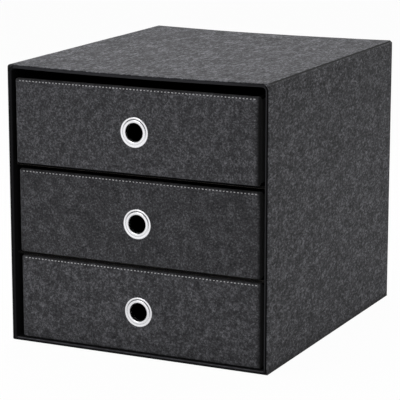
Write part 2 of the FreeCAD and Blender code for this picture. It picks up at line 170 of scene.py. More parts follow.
def makePiece(name, shells, material, body, replaced, slot, sharp=40):
    # puts shells of (points, quads, marks) into one mesh, merges poles and makes it ride on its body
    count = np.cumsum([0] + [len(shell[0]) for shell in shells])
    points = np.concatenate([shell[0] for shell in shells]) * mm
    quads = np.concatenate([shell[1] + start for shell, start in zip(shells, count)])
    marks = np.concatenate([shell[2] for shell in shells])
    mesh = bpy.data.meshes.new(name)
    mesh.from_pydata(points, [], quads)
    mesh.attributes.new("mark", "FLOAT", "POINT").data.foreach_set("value", marks.astype(np.float32))
    mergePoles(mesh)
    mesh.polygons.foreach_set("use_smooth", np.ones(len(mesh.polygons), bool))
    mesh.set_sharp_from_angle(angle=math.radians(sharp))
    mesh.materials.append(material)
    piece = bpy.data.objects.new(name, mesh)
    bpy.context.scene.collection.objects.link(piece)
    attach(piece, body)
    if replaced:
        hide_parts(*replaced)


# Paths and outlines


def evenly(start, end, count):
    # count fractions from start up to, but not with, end
    return start + (end - start) * np.arange(count) / count


def shrinking(rows, centre, count):
    # the last row again and again, drawn in to a centre
    return centre + (rows[-1] - centre) * np.linspace(1, 0, count)[1:, None, None]


def archPath(halfWidth, foot, top, radius, counts):
    # Up one side, round a corner, across, round a corner and down the other side, for each row of sizes.
    # counts: points on a side, on a corner and across.
    foot = np.broadcast_to(np.asarray(foot, float), np.shape(halfWidth))
    a, foot, top, r = (np.asarray(v, float)[:, None] for v in (halfWidth, foot, top, radius))
    side = evenly(0, 1, counts[0])
    turn = evenly(0, math.pi / 2, counts[1])
    across = evenly(0, 1, counts[2])
    back = np.linspace(0, 1, counts[0])
    x = [-a + 0 * side, -a + r * (1 - np.cos(turn)), (2 * across - 1) * (a - r)]
    x += [a - r * (1 - np.sin(turn)), a + 0 * back]
    z = [foot + (top - r - foot) * side, top - r * (1 - np.sin(turn)), top + 0 * across]
    z += [top - r * (1 - np.cos(turn)), top - r + (foot - top + r) * back]
    return np.concatenate(x, axis=1), np.concatenate(z, axis=1)


def roundedOutline(halfWidth, low, high, radius, counts, lowerRadius=None):
    # Once round a rectangle with rounded corners, for each row of sizes: bottom, right, top, left.
    # counts: points on the bottom, on a side, on the top and on a corner.
    lowerRadius = radius if lowerRadius is None else lowerRadius
    sizes = (halfWidth, low, high, radius, lowerRadius)
    a, low, high, r, q = (np.asarray(v, float)[:, None] for v in sizes)
    bottom, side, top = (evenly(0, 1, counts[i]) for i in range(3))
    turn = evenly(0, math.pi / 2, counts[3])
    cos, sin = np.cos(turn), np.sin(turn)
    x = [(2 * bottom - 1) * (a - q), a - q * (1 - sin), a + 0 * side, a - r * (1 - cos)]
    x += [(1 - 2 * top) * (a - r), -a + r * (1 - sin), -a + 0 * side, -a + q * (1 - cos)]
    rise = (high - low - q - r) * side
    z = [low + 0 * bottom, low + q * (1 - cos), low + q + rise, high - r * (1 - sin)]
    z += [high + 0 * top, high - r * (1 - cos), high - r - rise, low + q * (1 - sin)]
    return np.concatenate(x, axis=1), np.concatenate(z, axis=1)


def asPoints(x, y, z):
    return np.stack(np.broadcast_arrays(x, y, z), axis=-1).astype(float)


def roundHole(outline, centre, radius):
    # the points of a circle that lie on the spokes from its centre to the outline's points
    spoke = outline - centre
    return centre + spoke / np.linalg.norm(spoke, axis=1, keepdims=True) * radius


caseSet = {
    "halfWidth": 165.0,
    "height": 330.0,
    "back": 190.0,
    "sag": 1.8,  # how far the middle of the top hangs down
    "sagFrom": 250.0,  # the height from which the sag builds up
    "sagFull": 320.0,  # and that where it is full
}


def hangDown(points):
    # The top hangs down as a parabola between the sides, and the sag fades out below it
    low, full = caseSet["sagFrom"], caseSet["sagFull"]
    share = np.clip((points[..., 2] - low) / (full - low), 0, 1)
    across = 1 - (points[..., 0] / caseSet["halfWidth"]) ** 2
    points[..., 2] -= caseSet["sag"] * share * across
    return points


def unevenness(points, height, length, seed):
    # a sum of eight slow waves in directions and phases drawn once from the seed
    random = np.random.default_rng(seed)
    total = np.zeros(points.shape[:2])
    for wave in range(8):
        direction = random.normal(size=3)
        direction /= np.linalg.norm(direction)
        pace = 2 * math.pi / (length * random.uniform(0.6, 1.6))
        total += np.sin(points @ direction * pace + random.uniform(0, 2 * math.pi))
    return total * height / 4


# Materials


def linear(code):
    # sRGB hex to the linear colour that shaders use
    parts = [int(code[i:i + 2], 16) / 255 for i in (1, 3, 5)]
    return [p / 12.92 if p <= 0.04045 else ((p + 0.055) / 1.055) ** 2.4 for p in parts] + [1.0]


def setInput(tree, node, socket, value):
    # a plain value, or the output of another node
    if isinstance(value, bpy.types.NodeSocket):
        tree.links.new(value, node.inputs[socket])
    else:
        node.inputs[socket].default_value = value


def addNode(tree, kind, inputs=None, **settings):
    node = tree.nodes.new("ShaderNode" + kind)
    for name, value in settings.items():
        setattr(node, name, value)
    for socket, value in (inputs or {}).items():
        setInput(tree, node, socket, value)
    return node


def noise(tree, place, size, detail=2.0, **more):
    # size in millimetres
    inputs = {"Vector": place, "Scale": 1 / (size * mm), "Detail": detail, **more}
    return addNode(tree, "TexNoise", inputs).outputs[0]


def blend(tree, share, first, second):
    return addNode(tree, "Mix", {0: share, 2: first, 3: second}, data_type="FLOAT").outputs[0]


def blendColours(tree, share, first, second):
    return addNode(tree, "Mix", {0: share, 6: first, 7: second}, data_type="RGBA").outputs[2]


def markOf(tree):
    return addNode(tree, "Attribute", attribute_name="mark").outputs["Fac"]


def newMaterial(name, shaderValues):
    material = bpy.data.materials.new(name)
    material.use_nodes = True
    tree = material.node_tree
    shader = tree.nodes["Principled BSDF"]
    for socket, value in shaderValues.items():
        shader.inputs[socket].default_value = value
    coordinates = addNode(tree, "TexCoord").outputs["Object"]
    return material, tree, shader, coordinates


def dress(tree, shader, colour, strength, depth, height):
    # gives the shader its colour, and a bump whose depth is in millimetres
    bump = addNode(tree, "Bump", {"Strength": strength, "Distance": depth * mm, "Height": height})
    setInput(tree, shader, "Base Color", colour)
    setInput(tree, shader, "Normal", bump.outputs["Normal"])


feltSet = {
    "dark": "#1c1c1e",
    "middle": "#404043",
    "light": "#808085",
    "darkSide": 0.46,  # the dark fibres' side of the spread
    "nap": 0.25,  # how high the fibres stand
    "cloud": 9.0,  # where the carding left more light or dark fibre
    "cloudShare": 0.2,
    "fibreShare": 0.42,
    # the black of dark seams, and of the painted shade on the felt
    "seam": "#050506",
}

# The case is cut along the roll, so its tufts are drawn out from front to back
caseFeltSet = {
    "tuft": 2.7,  # a tuft of light or dark fibre
    "fibre": 1.1,  # a single fibre, drawn as coarse as it needs to show
    "drawn": 1.9,
    "spread": 0.22,  # how far apart the darkest and lightest fibres lie, less for more contrast
}

frontFeltSet = {
    "tuft": 2.3,
    "fibre": 0.9,
    "drawn": 1.0,
    "spread": 0.31,
}


def makeFelt(name, shared, say):
    # Polyester felt, needle-punched from dark and light fibres: a matt, mottled melange with a soft nap,
    # darkened by the mark towards black: partly dark seams, and otherwise painted shade in folds, round edges
    # and returns and over the middle front
    felt, tree, shader, place = newMaterial(name, {
        "Roughness": 0.95,
        "Specular IOR Level": 0.15,
        "Sheen Weight": 0.08,
        "Sheen Roughness": 0.6,
    })
    drawn = addNode(tree, "Mapping", {"Vector": place, "Scale": (1, 1 / say["drawn"], 1)}).outputs[0]
    tuft = noise(tree, drawn, say["tuft"], Roughness=0.6, Distortion=0.6)
    fibre = noise(tree, drawn, say["fibre"], Roughness=0.7, Distortion=1.5)
    mixed = blend(tree, shared["fibreShare"], tuft, fibre)
    clouded = blend(tree, shared["cloudShare"], mixed, noise(tree, drawn, shared["cloud"]))
    ramp = addNode(tree, "ValToRGB", {"Fac": clouded})
    stops = ramp.color_ramp.elements
    stops[0].position = 0.5 - say["spread"] * shared["darkSide"]
    stops[1].position = 0.5 + say["spread"] * (1 - shared["darkSide"])
    stops[0].color, stops[1].color = linear(shared["dark"]), linear(shared["light"])
    stops.new(0.5).color = linear(shared["middle"])
    # dark seams and painted shade: the mark mixes the felt towards black
    colour = blendColours(tree, markOf(tree), ramp.outputs["Color"], linear(shared["seam"]))
    dress(tree, shader, colour, 0.6, shared["nap"], mixed)
    return felt


blackSet = {
    "ground": "#060607",
    "thread": "#101011",
    "dot": 0.9,  # between the bonded points of the fabric
    "fibre": 0.5,
    "depth": 0.1,
}


def makeBlackFabric(say):
    # Spun-bonded polypropylene fabric, pressed in dots: dull black with a faint regular grain
    values = {"Roughness": 0.9, "Specular IOR Level": 0.06}
    fabric, tree, shader, place = newMaterial("spunBondedFabric", values)
    dots = addNode(tree, "TexVoronoi", {"Vector": place, "Scale": 1 / (say["dot"] * mm), "Randomness": 0.25})
    fibre = noise(tree, place, say["fibre"], Distortion=1.0)
    grain = blend(tree, 0.5, dots.outputs["Distance"], fibre)
    colour = blendColours(tree, grain, linear(say["ground"]), linear(say["thread"]))
    dress(tree, shader, colour, 0.35, say["depth"], grain)
    return fabric


tapeSet = {
    "black": "#070708",
    "bead": "#333336",
    # painted sheen: the pale colour of the threshold strip that faces up into the light
    "rubbed": "#6c6b70",
    "rib": 0.8,  # between the tape's ribs
    "depth": 0.12,
    "shades": (0.7, 1.3),  # between the ribs and on them
}


def makeTape(say):
    # Woven polyester edge tape over a soft bead: dark grey where it is full, black where it folds in,
    # and pale with painted sheen along the threshold that the lower drawer slides over, where the strip faces
    # up into the light
    values = {"Roughness": 0.85, "Specular IOR Level": 0.08}
    tape, tree, shader, place = newMaterial("wovenEdgeTape", values)
    weave = noise(tree, place, say["rib"], Roughness=0.6)
    ramp = addNode(tree, "ValToRGB", {"Fac": markOf(tree)})
    stops = ramp.color_ramp.elements
    stops[0].color, stops[1].color = linear(say["black"]), linear(say["rubbed"])
    stops.new(0.5).color = linear(say["bead"])
    shade = addNode(tree, "MapRange", {0: weave, 3: say["shades"][0], 4: say["shades"][1]}).outputs[0]
    worn = addNode(tree, "VectorMath", operation="SCALE")
    setInput(tree, worn, 0, ramp.outputs["Color"])
    setInput(tree, worn, "Scale", shade)
    dress(tree, shader, worn.outputs[0], 0.4, say["depth"], weave)
    return tape


boardSet = {
    "pulp": "#8c8478",
    "fleck": "#5f594f",
    "grain": 1.6,  # flecks of recycled paper
    "depth": 0.05,
}


def makeBoard(say):
    # Solid grey board from recycled paper, calendered: dull, slightly mottled, with darker flecks
    values = {"Roughness": 0.9, "Specular IOR Level": 0.25}
    board, tree, shader, place = newMaterial("recycledGreyBoard", values)
    pulp = noise(tree, place, say["grain"], 4.0, Roughness=0.65)
    colour = blendColours(tree, pulp, linear(say["pulp"]), linear(say["fleck"]))
    dress(tree, shader, colour, 0.2, say["depth"], pulp)
    return board


metalSet = {
    "nickel": "#d9d9dc",
    # painted shade and dark reflection in the groove
    "tarnish": "#4c4c50",
    "wear": 1.8,  # soft handling marks
    "roughness": (0.2, 0.32),
}


def makeMetal(say):
    # Nickel-plated steel, pressed and tumbled: bright and smooth, softly blurred by fine handling marks,
    # and painted darker in the groove beside the rim, as painted shade and dark reflection there
    metal, tree, shader, place = newMaterial("nickelPlatedSteel", {"Metallic": 1.0})
    colour = blendColours(tree, markOf(tree), linear(say["nickel"]), linear(say["tarnish"]))
    marks = noise(tree, place, say["wear"], 3.0)
    rough = addNode(tree, "MapRange", {0: marks, 3: say["roughness"][0], 4: say["roughness"][1]})
    setInput(tree, shader, "Base Color", colour)
    setInput(tree, shader, "Roughness", rough.outputs[0])
    return metal


threadSet = {
    "thread": "#e8e8ea",
    "shade": "#b4b4b8",
    "ply": 0.5,  # between the turns of the thread's plies
}


def makeThread(say):
    # Twisted polyester sewing thread: off-white with a dull shine, darker between its plies
    thread, tree, shader, place = newMaterial("twistedThread", {
        "Roughness": 0.6,
        "Specular IOR Level": 0.4,
        "Sheen Weight": 0.1,
    })
    inputs = {"Vector": place, "Scale": 0.25 / (say["ply"] * mm), "Distortion": 0.6}
    plies = addNode(tree, "TexWave", inputs, bands_direction="DIAGONAL").outputs["Fac"]
    colour = blendColours(tree, plies, linear(say["shade"]), linear(say["thread"]))
    setInput(tree, shader, "Base Color", colour)
    return thread


caseFelt = makeFelt("needlePunchedFelt", feltSet, caseFeltSet)
frontFelt = makeFelt("needlePunchedFeltFronts", feltSet, frontFeltSet)
blackFabric = makeBlackFabric(blackSet)
tape = makeTape(tapeSet)
greyBoard = makeBoard(boardSet)
nickel = makeMetal(metalSet)
whiteThread = makeThread(threadSet)
print("materials made")


# The case

feltCoverSet = {
    "front": -188.8,
    "foot": 0.8,
    "thickness": 1.0,
    "edgeRound": 3.5,
    "backRound": 1.4,
    "start": 0.4,  # the sides start this far before the front
    "lip": 0.9,  # how far the felt turns in over the front edge
    "lipMiddle": 0.55,  # before the front, and so are the next two
    "lipHalf": 0.6,
    "lipEnd": 0.1,
    "lipCorner": 8.5,  # radius of the lip's inner edge in the upper corners, which it fills
    "lipFoot": 5.5,
    "lipThickness": 0.12,
    "lipShade": 0.85,  # painted shade: how dark the lip of the left side is painted
    "seamDepth": 0.7,
    "seamWidth": 0.9,  # half of the valley, where it is half as deep
    "seamStart": -188.0,
    # the seam's dark line: partly a dark seam, partly painted shade in its valley
    "seamShade": 1.8,
    "foldShade": 0.55,  # painted shade: how dark the felt is painted in the folds round its back and lower edges
    "foldAt": 0.8,  # before the back
    "foldWidth": 0.9,
    "footFold": 1.8,
    "counts": (42, 26, 56),  # points on a side, on a corner and across
}


def caseFeltRows(say):
    # For each row: how far it lies inside the case's outline, its Y, and 1 at the lip's inner edge.
    # The felt starts as a lip turned in over the front edge and ends where it has turned round the back.
    roll = np.linspace(math.pi, 0, 9)
    lipInset = np.concatenate([[say["lip"]], say["lip"] * (1 - np.cos(roll)) / 2])[:-1]
    lipY = say["front"] - say["lipMiddle"] - say["lipHalf"] * np.sin(roll)
    lipY = np.concatenate([[say["front"] - say["lipEnd"]], lipY])[:-1]
    end = caseSet["back"] - say["backRound"]
    depth = np.linspace(say["front"] - say["start"], end, 60)
    turn = np.linspace(0, math.pi / 2, 6)[1:]
    inset = np.concatenate([lipInset, 0 * depth, say["backRound"] * (1 - np.cos(turn))])
    y = np.concatenate([lipY, depth, end + say["backRound"] * np.sin(turn)])
    return inset, y, np.concatenate([lipInset / say["lip"], np.zeros(len(y) - len(lipInset))])


def makeCaseFelt(say):
    # An arch across the chest is carried back along Y and, behind the back edge, drawn in towards the
    # middle of the foot to close the back. The seams are valleys along the middle of the rounded edges.
    inset, y, lipShare = caseFeltRows(say)
    lip = lipShare > 0
    radius = say["edgeRound"] - inset * ~lip + (say["lipCorner"] - say["edgeRound"]) * lipShare
    foot = say["foot"] + (say["lipFoot"] - say["foot"]) * lipShare
    x, z = archPath(caseSet["halfWidth"] - inset, foot, caseSet["height"] - inset, radius, say["counts"])
    arch = asPoints(x, y[:, None], z)
    closing = shrinking(arch, np.array([0.0, caseSet["back"], say["foot"]]), 16)
    points = hangDown(np.concatenate([arch, closing]))
    side, corner, across = say["counts"]
    fromSeam = np.linspace(-1, 1, corner) * say["edgeRound"] * math.pi / 4
    seam = np.zeros(points.shape[1])
    for start in (side, side + corner + across):
        seam[start:start + corner] = np.exp(-(fromSeam / say["seamWidth"]) ** 2 * 0.7)
    begun = np.concatenate([np.clip((y - say["seamStart"]) / 2, 0, 1), np.zeros(len(closing))])
    seam = seam * begun[:, None]
    relief = unevenness(points, 0.1, 90, 3) - say["seamDepth"] * seam
    relief *= np.clip((points[..., 1] - say["front"]) / 3, 0, 1)
    fromFold = points[..., 1] - caseSet["back"] + say["foldAt"]
    fold = np.exp(-(fromFold / say["foldWidth"]) ** 2)
    fold[len(y):] = 0
    footFold = np.clip(1 - (points[..., 2] - say["foot"]) / say["footFold"], 0, 1)
    fold = say["foldShade"] * np.maximum(fold, footFold)
    leftLip = lip[:, None] & (x < -caseSet["halfWidth"] + 3)
    fold[:len(y)] = np.maximum(fold[:len(y)], say["lipShade"] * leftLip)
    # The mark: partly a dark seam and partly painted shade in its valley, and painted shade in the folds
    # round the back, along the foot and on the left side's lip
    mark = np.maximum(np.clip(seam * say["seamShade"], 0, 1), fold)
    thickness = np.full((len(points), 1, 1), say["thickness"])
    thickness[:lip.sum()] = say["lipThickness"]
    shell = sheet(points, thickness, -1, relief, mark=mark)
    makePiece("case_felt_cover", [shell], caseFelt, "case", ["case_cover"], "felt")


bindingSet = {
    "front": -190.0,
    "return": (-176.8, -181.0, -185.2, -186.0),  # Y of the return's points, from its end to the front
    "innerRound": 1.7,
    "valley": [  # from the bead to the felt: outward, and behind the front
        (2.2, -0.02), (2.6, 0.12), (2.9, 0.38), (3.15, 0.7), (3.4, 0.9), (3.8, 0.95), (4.4, 1.0), (4.5, 1.2)],
    "behind": -188.8,
    "turnIn": 3.0,  # outward, where the tape turns in behind the valley
    "wall": 0.5,
    "halfOpening": 160.5,
    "low": 3.3,
    "high": 325.5,
    "width": 4.5,
    "footWidth": 3.0,
    "innerCorner": (3.0, 4.5),  # radius of the lower and the upper corners at the opening
    "outerCorner": (4.0, 9.2),  # and at the tape's outer edge
    "counts": (90, 90, 90, 10),
    "under": (4.0, 7.0),  # there is no valley below the first height, and a full one above the second
    "bead": (0.8, 1.2),  # middle of the bead, outward from the opening, and its half width
    "topBead": (1.9, 2.3),  # the bead is fuller over the opening
    "thinBead": (115, 145, 0.45),  # from and to which X it gets thinner there, and by how much
    "threshold": 160.0,  # half the length of the strip of painted sheen under the lower drawer
    # painted sheen: how pale the strip is, drawn at random along it
    "wear": (0.65, 1),
    "leftShade": 0.7,  # painted shade: the left side's tape is painted darker
}


def bindingSection(say):
    # The tape's section, as (outward, Y): along the return, round the bead, down into the valley
    # beside the felt and back behind
    turn = np.linspace(0, math.pi / 2, 9)
    ends = say["return"]
    radius, wall, back = say["innerRound"], say["wall"], say["behind"]
    bead = np.stack([radius * (1 - np.cos(turn)), say["front"] + radius * (1 - np.sin(turn))], 1)
    valley = np.array(say["valley"]) + [0, say["front"]]
    behind = [[say["turnIn"], back], [wall, back], [wall, ends[1]], [wall, ends[0]]]
    return np.concatenate([[[0, y] for y in ends], bead, valley, behind])


def bindingMarks(say, x, y, z, outward, under):
    # 0.5 on the grey bead, and less where painted shade falls: on its inner half, on the left side, along the
    # bottom and towards the right end over the opening; up to 1 on the strip of painted sheen
    over = np.clip((z - say["high"]) / 2, 0, 1)
    middle, half = (low + (high - low) * over for low, high in zip(say["bead"], say["topBead"]))
    marks = np.clip(1 - np.abs(outward - middle) / half, 0, 0.5) * (y < say["front"] + 1.6)
    # painted shade: the bead is painted thinner towards the right end over the opening
    start, end, thinner = say["thinBead"]
    marks *= 1 - thinner * over * np.clip((x - start) / (end - start), 0, 1)
    # painted shade: the bead is painted darker on the left side and along the bottom
    left = x < -say["halfOpening"] + 3
    marks *= (1 - 0.5 * under) * (1 - say["leftShade"] * left * (1 - 0.6 * under))
    # painted sheen: the threshold strip that faces up is painted pale, as if lit from above
    rubbed = (np.abs(z - say["low"]) < 0.4) & (np.abs(x) < say["threshold"]) & (y < -187) & (outward < 0.2)
    wear = np.random.default_rng(7).uniform(*say["wear"], x.shape[1])
    return np.where(rubbed, wear, marks)


def makeBinding(say):
    # The section is carried once round the opening. Under the drawers there is no valley, and the tape
    # runs on down to the floor.
    section = bindingSection(say)
    outward, y = section[:, :1], section[:, 1:]
    share = outward[:, 0] / say["width"]
    corners = zip(say["innerCorner"], say["outerCorner"])
    lower, upper = (inner + (outer - inner) * share for inner, outer in corners)
    x, z = roundedOutline(say["halfOpening"] + outward[:, 0], say["low"] - share * say["footWidth"],
                          say["high"] + outward[:, 0], upper, say["counts"], lower)
    onFront = (outward > say["innerRound"]) & (y < say["front"] + 1.1)
    full = say["front"] + 0.35 * np.clip((outward - 3.6) / 0.8, 0, 1) ** 2
    end, start = say["under"]
    under = np.clip((start - z) / (start - end), 0, 1)
    y = np.where(onFront, y + (np.minimum(full, y) - y) * under, y)
    marks = bindingMarks(say, x, y, z, outward, under)
    shell = ring(hangDown(asPoints(x, y, z)), marks)
    makePiece("front_edge_binding", [shell], tape, "case", ["front_binding"], "binding_tape")


liningSet = {
    "front": -176.8,
    "back": 185.5,
    "halfWidth": 160.5,
    "low": 3.3,
    "high": 325.5,
    "corner": 1.5,
    "thickness": 0.5,
    "counts": (24, 24, 40, 5),
}


def makeCaseLining(say):
    # A rounded outline is carried back along Y, turned in at the back and drawn in to the middle of the back
    corner = say["corner"]
    depth = np.linspace(say["front"], say["back"] - corner, 24)
    turn = np.linspace(0, math.pi / 2, 5)[1:]
    inset = np.concatenate([0 * depth, corner * (1 - np.cos(turn)) * 0.999])
    y = np.concatenate([depth, say["back"] - corner * (1 - np.sin(turn))])
    x, z = roundedOutline(say["halfWidth"] - inset, say["low"] + inset, say["high"] - inset,
                          corner * 1.01 - inset, say["counts"])
    tube = asPoints(x, y[:, None], z)
    centre = np.array([0.0, say["back"], (say["low"] + say["high"]) / 2])
    points = hangDown(np.concatenate([tube, shrinking(tube, centre, 12)]))
    shell = sheet(points, say["thickness"], -1, loop=True)
    makePiece("case_black_lining", [shell], blackFabric, "case", ["case_lining"], "black_fabric")


def panelShell(say):
    # A board or cloth panel: an outline in plan, rounded over at its upper and lower edges,
    # and drawn in to the middle of both faces
    low, high = np.array(say["low"], float), np.array(say["high"], float)
    middle = (low + high) / 2
    half = (high - low) / 2
    across, deep, rows = say["counts"]
    turn = np.linspace(0, math.pi / 2, 6)
    rounds = [(say["lowerRound"], turn), (say["upperRound"], turn[::-1])]
    inset = np.concatenate([size * (1 - np.sin(angle)) for size, angle in rounds])
    rise = [size * (1 - np.cos(angle)) for size, angle in rounds]
    z = np.concatenate([low[2] + rise[0], high[2] - rise[1]])
    x, y = roundedOutline(half[0] - inset, -half[1] + inset, half[1] - inset, 0.3 + 0 * inset,
                          (across, deep, across, 2))
    wall = asPoints(x, y, z[:, None])
    shrink = np.linspace(1, 0, rows)[1:]
    under = wall[0] * [1, 1, 0] * shrink[::-1, None, None] + [0, 0, low[2]]
    over = wall[-1] * [1, 1, 0] * shrink[:, None, None] + [0, 0, high[2]]
    points = np.concatenate([under, wall, over]) + [middle[0], middle[1], 0]
    if say["sags"]:
        points = hangDown(points)
    rows, columns = points.shape[:2]
    flat = points.reshape(-1, 3)
    quads = joinGrid(rows, columns, True)
    return flat, facedOut(flat, quads), np.zeros(len(flat))


topBoardSet = {
    "low": (-164, -188.8, 326),
    "high": (164, 189, 329),
    "lowerRound": 0.2,
    "upperRound": 2.6,
    "counts": (60, 12, 14),  # points across and in depth, and rows from an edge to the middle
    "sags": True,
}

backBoardSet = {
    "low": (-161, 186, 2.8),
    "high": (161, 189, 326),
    "lowerRound": 0.2,
    "upperRound": 0.2,
    "counts": (60, 3, 14),
    "sags": True,
}

# The fabric that the chest stands on
baseSet = {
    "low": (-165, -188.8, 0.0),
    "high": (165, 190, 0.8),
    "lowerRound": 0.3,
    "upperRound": 0.1,
    "counts": (30, 30, 8),
    "sags": False,
}

shelfSet = {
    "front": -182.0,
    "back": 185.5,
    "halfWidth": 160.0,
    "thickness": 3.5,
    "cloth": 0.5,
    "flange": 15.0,
    "flangeFront": 1.0,  # how far the flanges start behind the shelf's front edge
    "flangeCloth": 0.45,
}


def makeShelfCover(name, node, say):
    # A sleeve: from the back under the board, round its front edge and back over it, carried across.
    # A glued flange hangs at each end.
    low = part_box(node)[1].z / mm - say["thickness"]
    half = say["thickness"] / 2
    turn = np.linspace(-math.pi / 2, math.pi / 2, 11)
    flat = np.linspace(say["back"], say["front"] + half, 12)[:-1]
    y = np.concatenate([flat, say["front"] + half - half * np.cos(turn), flat[::-1]])
    z = np.concatenate([0 * flat, half + half * np.sin(turn), 0 * flat + say["thickness"]]) + low
    x = np.linspace(-say["halfWidth"], say["halfWidth"], 40)
    shells = [sheet(asPoints(x[None, :], y[:, None], z[:, None]), say["cloth"], -1)]
    for side in (-1, 1):
        down = np.linspace(low - say["flange"], low + say["thickness"], 8)
        along = np.linspace(say["front"] + say["flangeFront"], say["back"], 16)
        strip = asPoints(side * say["halfWidth"], along[None, :], down[:, None])
        shells.append(sheet(strip, say["flangeCloth"], side))
    makePiece(name, shells, blackFabric, "case", [node], "black_fabric")


makeCaseFelt(feltCoverSet)
makeBinding(bindingSet)
makeCaseLining(liningSet)
makePiece("sagging_top_board", [panelShell(topBoardSet)], greyBoard, "case", ["top_board"], "board")
makePiece("fitted_back_board", [panelShell(backBoardSet)], greyBoard, "case", ["back_board"], "board")
makePiece("base_black_fabric", [panelShell(baseSet)], blackFabric, "case", ["base_cover"], "black_fabric")
makeShelfCover("upper_shelf_sleeve", "upper_shelf_cover", shelfSet)
makeShelfCover("lower_shelf_sleeve", "lower_shelf_cover", shelfSet)
print("case made")


# The drawers, made in their own frame: X across from the middle, Y back from the felt and Z up from
# the lower edge

# For each drawer a seed, and how much darker its front is painted: painted shade, most on the middle front
drawerSet = {"upper_drawer": (11, 0.03), "middle_drawer": (12, 0.2), "lower_drawer": (13, 0.0)}

frontSet = {
    "halfWidth": 155.0,
    "height": 99.5,
    "felt": 1.0,
    "thick": 4.0,  # felt and board
    "corner": 3.0,
    "rollWidth": 3.8,  # the felt rolls over the edges as a quarter of an ellipse
    "rollDepth": 2.8,
    "lowerRoll": 0.45,  # height of the roll along the lower edge, against the others
    "flatRings": (9, 8, 7, 6.3, 5.7, 5.2, 4.8, 4.4, 4.1),  # the grid's rings, as distances from the edge
    "rollRings": (  # and those on the roll, as shares of its width
        1, 0.94, 0.87, 0.8, 0.73, 0.66, 0.59, 0.52, 0.44, 0.35, 0.25, 0.16, 0.08, 0.02, 0),
    "hole": 12.0,
    "pullHeight": 48.0,
    "stitchDown": 2.7,  # the row of stitches below the upper edge
    "firstStitch": 6.6,  # from the left edge
    "stitches": 69,
    "pitch": 4.36,
    "groove": 0.35,
    "grooveWidth": 0.75,
    "crown": 0.3,
    "uneven": 0.06,
    "topShade": (3.4, 0.75),  # painted shade: how far the felt is darkened from its upper edge, and how much
    "leftShade": (2.5, 0.25),
    "rightShade": (6.6, 1.25),  # painted shade: the right edges are darkened further in, as they lie in the shade
    # painted shade: the darkest that an edge is painted, and how dark the returns are painted
    "mostShade": 0.98,
    "returnShade": 0.92,
}

hemSet = {
    "halfWidth": 150.0,
    "down": 0.35,  # its top below the front's upper edge
    "depth": 18.0,
    "cloth": 0.9,
    "round": 0.95,
    "return": 11.0,  # the returns at the sides
    "returnCloth": 0.96,
}

boxSet = {
    "halfWidth": 154.0,
    "front": 4.0,
    "back": 368.0,
    "cloth": 0.5,
    "wall": 3.5,  # board with both fabrics
    "floor": 3.5,
    "corner": 1.5,
    "lowerRound": 0.8,
    "innerRound": 1.5,
    "liningCloth": 0.45,
    "counts": (30, 6, 26),
}


def stitchPlaces(say):
    return np.arange(say["stitches"]) * say["pitch"] + say["firstStitch"] - say["halfWidth"]


def rollDepthAt(say, inset):
    # how far behind the front the felt is, at a distance from its edge: a quarter of an ellipse
    left = np.clip(1 - np.asarray(inset, float) / say["rollWidth"], 0, 1)
    return say["rollDepth"] * (1 - np.sqrt(1 - left ** 2))


def edgeShade(say, down, x, y):
    # painted shade: the felt is darkened towards its upper edge and its sides, furthest in on the right, and
    # in its returns, where these lie in the shade beside the case
    shade = say["returnShade"] * np.clip((y - 1.6) / 1.2, 0, 1)
    distances = {"topShade": down, "leftShade": say["halfWidth"] + x, "rightShade": say["halfWidth"] - x}
    for name, distance in distances.items():
        reach, most = say[name]
        shade = np.maximum(shade, np.clip(most * (1 - distance / reach), 0, say["mostShade"]))
    return shade


def frontGrid(say):
    # Rings that start as the finger hole and turn into the outline, then round the edge and back over
    # the board
    counts = (70, 26, 4 * say["stitches"], 8)
    inset = np.concatenate([say["flatRings"], say["rollWidth"] * np.array(say["rollRings"]), [0, 0]])
    y = rollDepthAt(say, inset)
    y[-2:] = (say["rollDepth"] + say["thick"]) / 2, say["thick"]
    radius = np.maximum(say["corner"] - inset, 1.0)
    lower = inset * say["lowerRoll"]
    x, z = roundedOutline(say["halfWidth"] - inset, lower, say["height"] - inset, radius, counts)
    outer = asPoints(x, y[:, None], z)
    hole = roundHole(outer[0], np.array([0.0, 0.0, say["pullHeight"]]), say["hole"])
    share = np.linspace(0, 1, 15)[:-1, None, None]
    return np.concatenate([hole + (outer[0] - hole) * share, outer])


def frontFace(say, seed, darker):
    # the felt of a front: crowned, slightly uneven, and pulled in between the stitches
    points = frontGrid(say)
    x, y, z = np.moveaxis(points, -1, 0)
    face = np.clip(z / say["height"], 0, 1)
    across = 1 - (x / say["halfWidth"]) ** 4
    crown = say["crown"] * across * (1 - (2 * face - 1) ** 4)
    down = say["height"] - z
    places = stitchPlaces(say)
    sewn = (x > places[0] - 2) & (x < places[-1] + 2)
    row = np.exp(-((down - say["stitchDown"]) / say["grooveWidth"]) ** 2) * sewn
    pull = 0.6 + 0.4 * np.cos(2 * math.pi * (x - places[0]) / say["pitch"])
    relief = crown + unevenness(points, say["uneven"], 60, seed) - say["groove"] * row * pull
    relief *= np.clip(1 - y / 0.8, 0, 1)
    # painted shade round the edges, and over all of a darker front
    mark = np.maximum(edgeShade(say, down, x, y), darker)
    return sheet(points, say["felt"], 1, relief, loop=True, mark=mark)


def hemShell(say, front):
    # over the upper edge of the front and down behind it, carried across
    x = np.linspace(-say["halfWidth"], say["halfWidth"], 60)
    bend = np.linspace(0, math.pi / 2, 6)[1:]
    thick, radius = front["thick"], say["round"]
    y = [[thick - 0.9, thick - 0.4], thick + radius * np.sin(bend), np.full(6, thick + radius)]
    top = front["height"] - say["down"]
    end = top - say["depth"] + say["down"]
    z = [[top, top], top - radius * (1 - np.cos(bend)), np.linspace(top - 3, end, 6)]
    hem = asPoints(x[None, :], np.concatenate(y)[:, None], np.concatenate(z)[:, None])
    return sheet(hem, say["cloth"], -1, 0.04 * np.sin(x / 9)[None, :])


